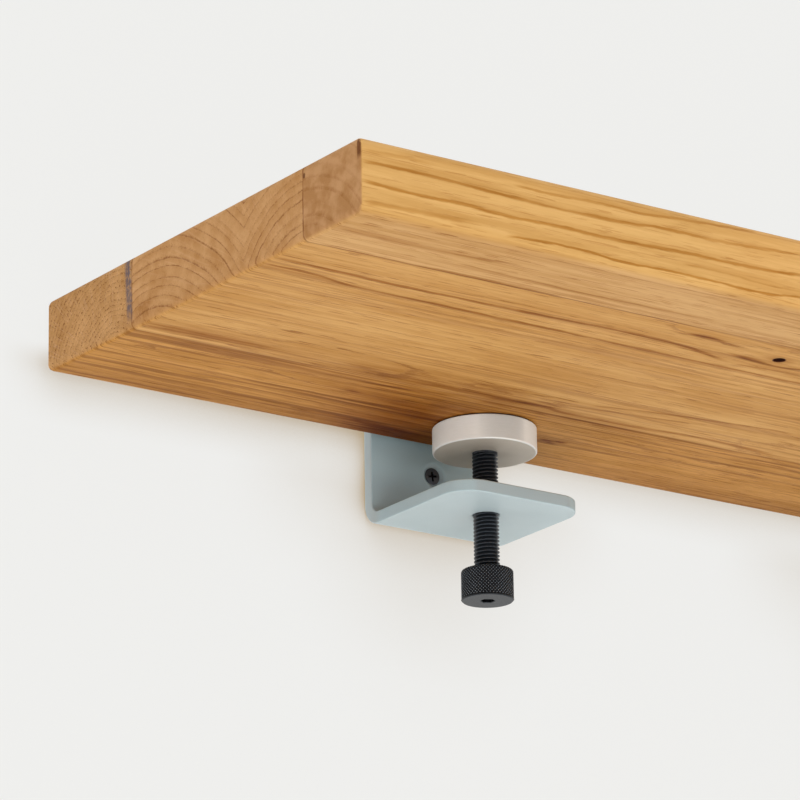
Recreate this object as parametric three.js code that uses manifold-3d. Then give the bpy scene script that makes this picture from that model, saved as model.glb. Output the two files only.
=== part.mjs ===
// Wall-mounted nightstand: a glued oak board held in two folded steel clamps.
// Millimetres. X runs along the wall, Y into the wall, Z up.
// The origin lies on the wall plane, midway between the clamps and at half their height.

import * as THREE from 'three';
import { mergeVertices } from 'three/addons/utils/BufferGeometryUtils.js';
import { RoundedBoxGeometry } from 'three/addons/geometries/RoundedBoxGeometry.js';
import Module from 'manifold-3d';

const wasm = await Module();
wasm.setup();

// Board
const boardLength = 597;
const boardDepth = 208;
const boardThickness = 28;
const boardEdgeRadius = 4;
const rearStaveWidth = 59.5;
const frontStaveWidth = 36;
const boardStandOff = 2.8;

// Folded steel bracket, and the throat under the board
const bracketSpacing = 240;
const bracketWidth = 60;
const bracketReach = 64.5;
const plateThickness = 5;
const innerBendRadius = 4;
const tongueCornerRadius = 12;
const throatHeight = 30.5;

// Liner under the upper tongue
const topLinerThickness = 1.5;
const topLinerInset = 2;

// Wall screws and their countersunk holes
const wallScrewSpacing = 20;
const wallScrewLength = 40;
const wallScrewShankRadius = 2;
const wallScrewHoleClearance = 0.3;
const wallScrewTipLength = 4;
const wallScrewHeadRim = 0.2;
const wallScrewHeadSink = 1.2;
const wallScrewSeatClearance = 0.2;
const countersinkRadius = 5;
const crossArmWidth = 0.8;
const crossLength = 3.6;
const crossDepth = 1.6;

// Clamp screw with its neck groove
const clampScrewForward = 34;
const clampScrewRadius = 5;
const clampScrewChamfer = 0.8;
const threadClearance = 0.3;
const screwTipDepth = 5.8;
const screwTipClearance = 0.3;
const neckDepth = 0.8;

// Swivel pad
const padRadius = 20.3;
const padThickness = 10;
const padEdge = 0.5;
const padLinerThickness = 0.5;
const padLinerInset = 0.8;

// Retaining ring, which sits in the pad's groove and round the screw's neck
const ringThickness = 1;
const ringRadialWidth = 1.7;
const ringGap = 5;
const ringSideClearance = 0.3;
const ringRadialClearance = 0.3;
const ringHeightInPad = 2.7;

// Knurled knob
const knobRadius = 10.2;
const knobHeight = 12.2;
const knobDrop = 22;
const knobShoulder = 1;
const knobBottomEdge = 0.5;
const knobBoreDepth = 6.6;
const knobSeatClearance = 0.3;
const socketAcrossFlats = 5;
const socketDepth = 3.5;

// How far a cutting body runs past what it cuts, and how near two points are to count as one
const cutOverrun = 2;
const weldDistance = 0.0001;

// Sides and facets of round stretches
const socketSides = 6;
const edgeFacets = 3;
const bendFacets = 6;
const padFacets = 48;
const turnedFacets = 36;
const smallTurnedFacets = 20;

// Places that follow from the sizes above
const innerHeight = throatHeight + boardThickness + topLinerThickness;
const bracketHeight = innerHeight + 2 * plateThickness;
const boardUnderside = throatHeight - innerHeight / 2;
const boardTop = boardUnderside + boardThickness;
const boardRear = -plateThickness - boardStandOff;
const boardFront = boardRear - boardDepth;
const clampScrewY = -plateThickness - clampScrewForward;
const lowerTongueTop = boardUnderside - throatHeight;
const lowerTongueBottom = lowerTongueTop - plateThickness;
const padTop = boardUnderside - padLinerThickness;
const padBottom = padTop - padThickness;
const screwTip = padBottom + screwTipDepth;
const knobTop = lowerTongueBottom - knobDrop;
const knobBottom = knobTop - knobHeight;
const screwFoot = knobTop - knobBoreDepth + knobSeatClearance;
const neckRadius = clampScrewRadius - neckDepth;
const ringInnerRadius = neckRadius + ringRadialClearance;
const ringOuterRadius = ringInnerRadius + ringRadialWidth;
const ringMiddle = padBottom + ringHeightInPad;
const grooveHalfHeight = ringThickness / 2 + ringSideClearance;

const quarterTurn = Math.PI / 2;
const halfTurn = Math.PI;
const fullTurn = 2 * Math.PI;

// A closed geometry as a solid that can be cut
function toSolid(geometry) {
  const bare = geometry.clone();
  bare.deleteAttribute('normal');
  bare.deleteAttribute('uv');
  const welded = mergeVertices(bare, weldDistance);
  const vertProperties = new Float32Array(welded.attributes.position.array);
  const triVerts = new Uint32Array(welded.index.array);
  return new wasm.Manifold(new wasm.Mesh({ numProp: 3, vertProperties, triVerts }));
}

function toGeometry(solid) {
  const mesh = solid.getMesh();
  const geometry = new THREE.BufferGeometry();
  geometry.setAttribute('position', new THREE.BufferAttribute(mesh.vertProperties, mesh.numProp));
  geometry.setIndex(new THREE.BufferAttribute(mesh.triVerts, 1));
  geometry.computeVertexNormals();
  return geometry;
}

// A profile of [radius, height] pairs turned about the Y axis
function turnAboutY(profile, facets) {
  const points = profile.map(([radius, height]) => new THREE.Vector2(radius, height));
  return new THREE.LatheGeometry(points, facets);
}

// The same, standing on the Z axis of the clamp screw
function turnAboutScrew(profile, facets) {
  const geometry = turnAboutY(profile, facets);
  geometry.rotateX(quarterTurn);
  geometry.translate(0, clampScrewY, 0);
  return geometry;
}

// A flat outline in X and Y, raised from one height to another
function raise(outline, bottom, top, facets) {
  const settings = { depth: top - bottom, bevelEnabled: false, curveSegments: facets };
  const geometry = new THREE.ExtrudeGeometry(outline, settings);
  geometry.translate(0, 0, bottom);
  return geometry;
}

function boxBetween(low, high) {
  const size = new THREE.Vector3().subVectors(high, low);
  const middle = new THREE.Vector3().addVectors(low, high).divideScalar(2);
  const geometry = new THREE.BoxGeometry(size.x, size.y, size.z);
  geometry.translate(middle.x, middle.y, middle.z);
  return geometry;
}

function addMesh(group, name, geometry, material) {
  const mesh = new THREE.Mesh(geometry, material);
  mesh.name = name;
  group.add(mesh);
}

// Materials
function oak() {
  return new THREE.MeshStandardMaterial({ color: 0xb9854f, roughness: 0.62, metalness: 0 });
}

function paintedSteel() {
  return new THREE.MeshStandardMaterial({ color: 0x8d9ba3, roughness: 0.55, metalness: 0.1 });
}

function satinNickel() {
  return new THREE.MeshStandardMaterial({ color: 0xb3aba0, roughness: 0.3, metalness: 1 });
}

function blackSteel() {
  return new THREE.MeshStandardMaterial({ color: 0x1d2024, roughness: 0.45, metalness: 0.8 });
}

function springSteel() {
  return new THREE.MeshStandardMaterial({ color: 0x6a6f74, roughness: 0.4, metalness: 1 });
}

function darkRubber() {
  return new THREE.MeshStandardMaterial({ color: 0x26272a, roughness: 0.85, metalness: 0 });
}

// The board, with every edge rounded, before it is parted into staves
function boardSolid() {
  const geometry = new RoundedBoxGeometry(
    boardLength, boardDepth, boardThickness, edgeFacets, boardEdgeRadius,
  );
  geometry.translate(0, (boardRear + boardFront) / 2, (boardUnderside + boardTop) / 2);
  return toSolid(geometry);
}

// One stave is the board between two planes across its depth
function staveGeometry(frontPlane, rearPlane) {
  const sideReach = boardLength / 2 + cutOverrun;
  const low = new THREE.Vector3(-sideReach, frontPlane, boardUnderside - cutOverrun);
  const high = new THREE.Vector3(sideReach, rearPlane, boardTop + cutOverrun);
  return toGeometry(boardSolid().intersect(toSolid(boxBetween(low, high))));
}

function addBoard(group) {
  const rearJoint = boardRear - rearStaveWidth;
  const frontJoint = boardFront + frontStaveWidth;
  addMesh(group, 'rear_stave', staveGeometry(rearJoint, boardRear + cutOverrun), oak());
  addMesh(group, 'middle_stave', staveGeometry(frontJoint, rearJoint), oak());
  addMesh(group, 'front_stave', staveGeometry(boardFront - cutOverrun, frontJoint), oak());
}

// Side view of the bracket: two tongues folded forward from the wall plate
function bracketProfile() {
  const front = -bracketReach - cutOverrun;
  const high = bracketHeight / 2;
  const low = -high;
  const outer = innerBendRadius + plateThickness;
  const shape = new THREE.Shape();
  shape.moveTo(front, low);
  shape.lineTo(-outer, low);
  shape.absarc(-outer, low + outer, outer, -quarterTurn, 0, false);
  shape.lineTo(0, high - outer);
  shape.absarc(-outer, high - outer, outer, 0, quarterTurn, false);
  shape.lineTo(front, high);
  shape.lineTo(front, high - plateThickness);
  shape.lineTo(-outer, high - plateThickness);
  shape.absarc(-outer, high - outer, innerBendRadius, quarterTurn, 0, true);
  shape.lineTo(-plateThickness, low + outer);
  shape.absarc(-outer, low + outer, innerBendRadius, 0, -quarterTurn, true);
  shape.lineTo(front, low + plateThickness);
  shape.closePath();
  return shape;
}

// A rectangle in plan whose two front corners are rounded
function roundedPlan(halfWidth, front, rear, radius) {
  const shape = new THREE.Shape();
  shape.moveTo(halfWidth, rear);
  shape.lineTo(-halfWidth, rear);
  shape.lineTo(-halfWidth, front + radius);
  shape.absarc(-halfWidth + radius, front + radius, radius, halfTurn, halfTurn + quarterTurn, false);
  shape.lineTo(halfWidth - radius, front);
  shape.absarc(halfWidth - radius, front + radius, radius, -quarterTurn, 0, false);
  shape.closePath();
  return shape;
}

function countersunkHole(height) {
  const mouth = -plateThickness;
  const holeRadius = wallScrewShankRadius + wallScrewHoleClearance;
  const throat = mouth + countersinkRadius - holeRadius;
  const geometry = turnAboutY([
    [0, mouth - cutOverrun],
    [countersinkRadius + cutOverrun, mouth - cutOverrun],
    [holeRadius, throat],
    [holeRadius, cutOverrun],
    [0, cutOverrun],
  ], smallTurnedFacets);
  geometry.translate(0, 0, height);
  return toSolid(geometry);
}

function bracketGeometry() {
  const width = bracketWidth + 2 * cutOverrun;
  const settings = { depth: width, bevelEnabled: false, curveSegments: bendFacets };
  const folded = new THREE.ExtrudeGeometry(bracketProfile(), settings);
  const sideways = new THREE.Matrix4().makeBasis(
    new THREE.Vector3(0, 1, 0), new THREE.Vector3(0, 0, 1), new THREE.Vector3(1, 0, 0),
  );
  folded.applyMatrix4(sideways);
  folded.translate(-width / 2, 0, 0);

  const plan = roundedPlan(bracketWidth / 2, -bracketReach, cutOverrun, tongueCornerRadius);
  const reachUp = bracketHeight / 2 + cutOverrun;
  const trimmed = toSolid(folded).intersect(toSolid(raise(plan, -reachUp, reachUp, bendFacets)));

  const holeRadius = clampScrewRadius + threadClearance;
  const tappedHole = turnAboutScrew([
    [0, lowerTongueBottom - cutOverrun],
    [holeRadius, lowerTongueBottom - cutOverrun],
    [holeRadius, lowerTongueTop + cutOverrun],
    [0, lowerTongueTop + cutOverrun],
  ], turnedFacets);

  return toGeometry(
    trimmed
      .subtract(toSolid(tappedHole))
      .subtract(countersunkHole(wallScrewSpacing / 2))
      .subtract(countersunkHole(-wallScrewSpacing / 2)),
  );
}

// Thin sheet that keeps the upper tongue off the wood
function topLinerGeometry() {
  const rear = boardRear - boardEdgeRadius;
  const front = -bracketReach + topLinerInset;
  const radius = tongueCornerRadius - topLinerInset;
  const plan = roundedPlan(bracketWidth / 2 - topLinerInset, front, rear, radius);
  return raise(plan, boardTop, boardTop + topLinerThickness, bendFacets);
}

// A plus sign centred on the origin
function crossOutline() {
  const arm = crossLength / 2;
  const side = crossArmWidth / 2;
  const corner = [[side, arm], [side, side], [arm, side]];
  const shape = new THREE.Shape();
  const signs = [[1, 1], [1, -1], [-1, -1], [-1, 1]];
  const points = signs.flatMap(([signX, signY], index) => {
    const ordered = index % 2 === 0 ? corner : [...corner].reverse();
    return ordered.map(([x, y]) => new THREE.Vector2(signX * x, signY * y));
  });
  shape.setFromPoints(points);
  return shape;
}

function wallScrewGeometry(height) {
  const face = -plateThickness + wallScrewHeadSink;
  const headRadius = countersinkRadius - wallScrewHeadSink - wallScrewHeadRim - wallScrewSeatClearance;
  const coneStart = face + wallScrewHeadRim;
  const coneEnd = coneStart + headRadius - wallScrewShankRadius;
  const tip = face + wallScrewLength;
  const turned = turnAboutY([
    [0, face],
    [headRadius, face],
    [headRadius, coneStart],
    [wallScrewShankRadius, coneEnd],
    [wallScrewShankRadius, tip - wallScrewTipLength],
    [0, tip],
  ], smallTurnedFacets);
  const recess = raise(crossOutline(), -cutOverrun, crossDepth, 1);
  recess.rotateX(-quarterTurn);
  recess.translate(0, face, 0);
  const geometry = toGeometry(toSolid(turned).subtract(toSolid(recess)));
  geometry.translate(0, 0, height);
  return geometry;
}

// Threaded rod: its foot is bonded into the knob, its neck carries the retaining ring
function clampScrewGeometry() {
  const chamfered = clampScrewRadius - clampScrewChamfer;
  return turnAboutScrew([
    [0, screwFoot],
    [chamfered, screwFoot],
    [clampScrewRadius, screwFoot + clampScrewChamfer],
    [clampScrewRadius, ringMiddle - grooveHalfHeight],
    [neckRadius, ringMiddle - grooveHalfHeight],
    [neckRadius, ringMiddle + grooveHalfHeight],
    [clampScrewRadius, ringMiddle + grooveHalfHeight],
    [clampScrewRadius, screwTip - clampScrewChamfer],
    [chamfered, screwTip],
    [0, screwTip],
  ], turnedFacets);
}

function knobGeometry() {
  const boreRadius = clampScrewRadius + knobSeatClearance;
  const shoulder = Array.from({ length: edgeFacets + 1 }, (_, step) => {
    const angle = quarterTurn * step / edgeFacets;
    const radius = knobRadius - knobShoulder + knobShoulder * Math.cos(angle);
    return [radius, knobTop - knobShoulder + knobShoulder * Math.sin(angle)];
  });
  const turned = turnAboutScrew([
    [0, knobBottom],
    [knobRadius - knobBottomEdge, knobBottom],
    [knobRadius, knobBottom + knobBottomEdge],
    ...shoulder,
    [boreRadius, knobTop],
    [boreRadius, knobTop - knobBoreDepth],
    [0, knobTop - knobBoreDepth],
  ], turnedFacets);

  const socketRadius = socketAcrossFlats / 2 / Math.cos(halfTurn / socketSides);
  const socketLength = socketDepth + cutOverrun;
  const socket = new THREE.CylinderGeometry(socketRadius, socketRadius, socketLength, socketSides);
  socket.rotateX(quarterTurn);
  socket.translate(0, clampScrewY, knobBottom + (socketDepth - cutOverrun) / 2);
  return toGeometry(toSolid(turned).subtract(toSolid(socket)));
}

// Disc with a blind pocket for the screw's tip and a groove for the ring
function padGeometry() {
  const pocketRadius = clampScrewRadius + screwTipClearance;
  const grooveRadius = ringOuterRadius + ringRadialClearance;
  const ceiling = screwTip + screwTipClearance;
  return turnAboutScrew([
    [0, ceiling],
    [pocketRadius, ceiling],
    [pocketRadius, ringMiddle + grooveHalfHeight],
    [grooveRadius, ringMiddle + grooveHalfHeight],
    [grooveRadius, ringMiddle - grooveHalfHeight],
    [pocketRadius, ringMiddle - grooveHalfHeight],
    [pocketRadius, padBottom],
    [padRadius - padEdge, padBottom],
    [padRadius, padBottom + padEdge],
    [padRadius, padTop - padEdge],
    [padRadius - padEdge, padTop],
    [0, padTop],
  ], padFacets);
}

function padLinerGeometry() {
  const radius = padRadius - padLinerInset;
  return turnAboutScrew([
    [0, padTop],
    [radius, padTop],
    [radius, boardUnderside],
    [0, boardUnderside],
  ], padFacets);
}

// Split ring, open towards the front
function ringGeometry() {
  const halfGapAngle = Math.asin(ringGap / 2 / ringOuterRadius);
  const start = -quarterTurn + halfGapAngle;
  const end = start + fullTurn - 2 * halfGapAngle;
  const shape = new THREE.Shape();
  shape.absarc(0, 0, ringOuterRadius, start, end, false);
  shape.absarc(0, 0, ringInnerRadius, end, start, true);
  shape.closePath();
  const low = ringMiddle - ringThickness / 2;
  const geometry = raise(shape, low, low + ringThickness, smallTurnedFacets);
  geometry.translate(0, clampScrewY, 0);
  return geometry;
}

function addClamp(parent, side, centre) {
  const clamp = new THREE.Group();
  clamp.position.x = centre;
  parent.add(clamp);
  addMesh(clamp, `${side}_bracket`, bracketGeometry(), paintedSteel());
  addMesh(clamp, `${side}_top_liner`, topLinerGeometry(), darkRubber());
  addMesh(clamp, `${side}_upper_wall_screw`, wallScrewGeometry(wallScrewSpacing / 2), blackSteel());
  addMesh(clamp, `${side}_lower_wall_screw`, wallScrewGeometry(-wallScrewSpacing / 2), blackSteel());
  addMesh(clamp, `${side}_clamp_screw`, clampScrewGeometry(), blackSteel());
  addMesh(clamp, `${side}_knob`, knobGeometry(), blackSteel());
  addMesh(clamp, `${side}_pad`, padGeometry(), satinNickel());
  addMesh(clamp, `${side}_pad_liner`, padLinerGeometry(), darkRubber());
  addMesh(clamp, `${side}_retaining_ring`, ringGeometry(), springSteel());
}

const nightstand = new THREE.Group();
addBoard(nightstand);
addClamp(nightstand, 'left', -bracketSpacing / 2);
addClamp(nightstand, 'right', bracketSpacing / 2);

export default nightstand;
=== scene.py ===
import bpy
import bmesh
import math
from mathutils import Matrix, Vector


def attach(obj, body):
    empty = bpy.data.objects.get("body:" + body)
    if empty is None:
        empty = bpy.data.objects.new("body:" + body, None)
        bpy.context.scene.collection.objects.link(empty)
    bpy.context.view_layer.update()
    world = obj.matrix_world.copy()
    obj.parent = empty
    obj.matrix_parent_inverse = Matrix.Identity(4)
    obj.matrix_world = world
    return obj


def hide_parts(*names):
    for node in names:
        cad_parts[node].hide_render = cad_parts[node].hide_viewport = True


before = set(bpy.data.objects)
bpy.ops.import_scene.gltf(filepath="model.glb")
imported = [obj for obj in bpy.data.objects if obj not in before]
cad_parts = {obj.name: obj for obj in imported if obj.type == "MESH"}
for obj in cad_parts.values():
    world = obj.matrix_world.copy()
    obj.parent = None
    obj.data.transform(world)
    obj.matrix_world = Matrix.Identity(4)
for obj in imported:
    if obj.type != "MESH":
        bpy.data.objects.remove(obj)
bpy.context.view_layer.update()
print("frame: packed model loaded")

mm = 0.001
sides = {"left": -120, "right": 120}  # middle of each bracket along the wall, mm
screwY = -39  # clamp screw's axis in front of the wall, mm
roundSegments = 4  # of each small rounding on a turned piece


# numbers and nodes

def tone(red, green, blue):  # a colour as it is seen, 0 to 255, made linear
    linear = [c / 3294.6 if c <= 10 else ((c / 255 + 0.055) / 1.055) ** 2.4 for c in (red, green, blue)]
    return (*linear, 1.0)


class Value:  # a socket, with sums written as sums
    def __init__(self, finish, socket):
        self.finish, self.socket = finish, socket

    def maths(self, operation, *others):
        return self.finish.sum(operation, self, *others)

    def __add__(self, other):
        return self.finish.sum("ADD", self, other)

    def __radd__(self, other):
        return self.finish.sum("ADD", other, self)

    def __sub__(self, other):
        return self.finish.sum("SUBTRACT", self, other)

    def __rsub__(self, other):
        return self.finish.sum("SUBTRACT", other, self)

    def __mul__(self, other):
        return self.finish.sum("MULTIPLY", self, other)

    def __truediv__(self, other):
        return self.finish.sum("DIVIDE", self, other)

    def __neg__(self):
        return self.finish.sum("MULTIPLY", self, -1.0)


class Nodes:  # a node tree and the ways to add to it
    def __init__(self, owner):
        owner.use_nodes = True
        self.tree = owner.node_tree
        self.tree.nodes.clear()

    def add(self, kind, settings, sockets):
        node = self.tree.nodes.new(kind)
        for key, setting in settings.items():
            setattr(node, key, setting)
        for key, given in sockets.items():
            self.fill(node.inputs[key] if isinstance(key, int) else self.find(node, key), given)
        found = {out.name: Value(self, out) for out in node.outputs}
        found.update({out.identifier: Value(self, out) for out in node.outputs})
        return found

    def find(self, node, key):
        return next(s for s in node.inputs if key in (s.identifier, s.name))

    def fill(self, socket, given):
        if isinstance(given, Value):
            self.tree.links.new(given.socket, socket)
        else:
            socket.default_value = given

    def sum(self, operation, *terms):
        return self.add("ShaderNodeMath", {"operation": operation}, dict(enumerate(terms)))["Value"]

    def place(self):  # where the surface is in the part, in mm
        corner = self.add("ShaderNodeTexCoord", {}, {})["Object"]
        parts = self.add("ShaderNodeSeparateXYZ", {}, {"Vector": corner})
        return [parts[axis] * 1000.0 for axis in "XYZ"]

    def facing(self):  # the surface's direction in the part
        outward = self.add("ShaderNodeTexCoord", {}, {})["Normal"]
        parts = self.add("ShaderNodeSeparateXYZ", {}, {"Vector": outward})
        return [parts[axis] for axis in "XYZ"]

    def point(self, x, y, z):
        return self.add("ShaderNodeCombineXYZ", {}, {"X": x, "Y": y, "Z": z})["Vector"]

    def noise(self, x, y, z, detail=2.0, rough=0.5):
        sockets = {"Vector": self.point(x, y, z), "Scale": 1.0, "Detail": detail, "Roughness": rough}
        return self.add("ShaderNodeTexNoise", {}, sockets)["Fac"]

    def step(self, value, start, end, low=0.0, high=1.0):
        sockets = {"Value": value, "From Min": start, "From Max": end, "To Min": low, "To Max": high}
        return self.add("ShaderNodeMapRange", {"interpolation_type": "SMOOTHSTEP"}, sockets)["Result"]

    def mix(self, factor, first, second, blend="MIX"):
        settings = {"data_type": "RGBA", "blend_type": blend}
        sockets = {"Factor_Float": factor, "A_Color": first, "B_Color": second}
        return self.add("ShaderNodeMix", settings, sockets)["Result_Color"]

    def stain(self, factor, colour, tint):  # darkens in two steps, so that a thin stain is as warm as a full one
        half = (*(share ** 0.5 for share in tint), 1.0)
        return self.mix(factor, self.mix(factor, colour, half, "MULTIPLY"), half, "MULTIPLY")

    def through(self, along, points):  # a smooth line through points, read off at the place along it
        (first, _), (last, _) = points[0], points[-1]
        base = min(across for _, across in points)
        span = max(across for _, across in points) - base + 1.0
        node = self.tree.nodes.new("ShaderNodeFloatCurve")
        node.mapping.use_clip = False
        curve = node.mapping.curves[0]
        for end, (_, across) in zip(curve.points, (points[0], points[-1])):
            end.location.y = (across - base) / span
        for place, across in points[1:-1]:
            curve.points.new((place - first) / (last - first), (across - base) / span)
        node.mapping.update()
        share = (along - first) * (1.0 / (last - first))
        self.fill(node.inputs["Value"], share.maths("MAXIMUM", 0.0).maths("MINIMUM", 1.0))
        return Value(self, node.outputs[0]) * span + base


class Finish(Nodes):  # one material around one Principled shader
    def __init__(self, name, uniform):
        self.material = bpy.data.materials.new(name)
        super().__init__(self.material)
        self.shader = self.tree.nodes.new("ShaderNodeBsdfPrincipled")
        self.feed(uniform)
        self.surface = self.tree.nodes.new("ShaderNodeOutputMaterial").inputs["Surface"]
        self.fill(self.surface, Value(self, self.shader.outputs[0]))

    def feed(self, given):  # fills the shader's own sockets by name
        for key, value in given.items():
            self.fill(self.shader.inputs[key], value)

    def bump(self, height, strength, distance):
        sockets = {"Height": height, "Strength": strength, "Distance": distance}
        self.feed({"Normal": self.add("ShaderNodeBump", {}, sockets)["Normal"]})


# mesh helpers

def toObject(bm, name):  # puts the mesh in the scene and frees the bmesh
    mesh = bpy.data.meshes.new(name)
    bm.to_mesh(mesh)
    bm.free()
    made = bpy.data.objects.new(name, mesh)
    bpy.context.scene.collection.objects.link(made)
    return made


def finishPiece(bm, name, body, node, finish, smoothUnder=35, weighted=True):
    bmesh.ops.remove_doubles(bm, verts=bm.verts, dist=1e-6)
    bmesh.ops.recalc_face_normals(bm, faces=bm.faces)
    piece = toObject(bm, name)
    piece.data.materials.append(finish.material)
    piece.data.shade_smooth()
    piece.data.set_sharp_from_angle(angle=math.radians(smoothUnder))
    if weighted:
        even = piece.modifiers.new("even", "WEIGHTED_NORMAL")
        even.keep_sharp = True
    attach(piece, body)
    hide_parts(node)
    return piece


def bevel(bm, geom, offset, segments, affect="VERTICES"):
    bmesh.ops.bevel(bm, geom=geom, offset=offset, affect=affect, segments=segments, profile=0.5, material=-1)


def newVerts(grown):  # the corners that an operator has made
    return [v for v in grown["geom"] if isinstance(v, bmesh.types.BMVert)]


def move(bm, offset):
    bmesh.ops.translate(bm, verts=bm.verts, vec=offset)


def turn(bm, angle, axis):
    bmesh.ops.rotate(bm, verts=bm.verts, cent=(0, 0, 0), matrix=Matrix.Rotation(angle, 3, axis))


def wind(bm, angle, steps, rise=0.0, closed=False):  # spins all of the mesh about Z, rising a little each step
    geom = bm.verts[:] + bm.edges[:] + bm.faces[:]
    bmesh.ops.spin(
        bm, geom=geom, cent=(0, 0, 0), axis=(0, 0, 1), dvec=(0, 0, rise), angle=angle, steps=steps, use_merge=closed)


def turned(outline, middle, steps, axis="Z"):
    # outline is a chain of (radius, height, rounding), turned about the axis through middle, all in mm
    bm = bmesh.new()
    chain = [bm.verts.new((radius, 0, height)) for radius, height, rounding in outline]
    for pair in zip(chain, chain[1:]):
        bm.edges.new(pair)
    for corner, (radius, height, rounding) in zip(chain, outline):
        if rounding:
            bevel(bm, [corner], rounding, roundSegments)
    wind(bm, 2 * math.pi, steps, closed=True)
    bmesh.ops.remove_doubles(bm, verts=bm.verts, dist=1e-4)
    if axis == "Y":  # height then runs into the wall
        turn(bm, -math.pi / 2, "X")
    move(bm, middle)
    return bm


def toMetres(bm):
    bmesh.ops.scale(bm, verts=bm.verts, vec=(mm, mm, mm))
    return bm


def settled(bm, prepare):  # the closed mesh as the modifiers that prepare adds leave it
    bmesh.ops.recalc_face_normals(bm, faces=bm.faces)
    block = toObject(bm, "block")
    spent = prepare(block)
    result = bmesh.new()
    result.from_object(block, bpy.context.evaluated_depsgraph_get())
    for used in spent + [block]:
        bpy.data.objects.remove(used)
    return result


def carve(bm, cutters):  # takes closed shapes out of a closed mesh
    def cutAll(block):
        tools = []
        for cutter in cutters:
            bmesh.ops.recalc_face_normals(cutter, faces=cutter.faces)
            tool = toObject(cutter, "tool")
            cut = block.modifiers.new("cut", "BOOLEAN")
            cut.operation, cut.solver, cut.object = "DIFFERENCE", "EXACT", tool
            tools.append(tool)
        return tools
    return settled(bm, cutAll)


# oak board

board = {
    "halfLength": 298.5, "front": -215.8, "rear": -7.8, "bottom": 0.5, "top": 28.5,
    "frontJoint": -179.8, "rearJoint": -67.3,
    "frontEdge": 4.0, "rearEdge": 2.6, "endEdge": 2.3, "uprightEdge": 1.0, "edgeSegments": 8,
    "knotHole": (-75.6, -165.8), "knotHoleSize": (2.45, 2.25, 2.6),
}

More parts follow.
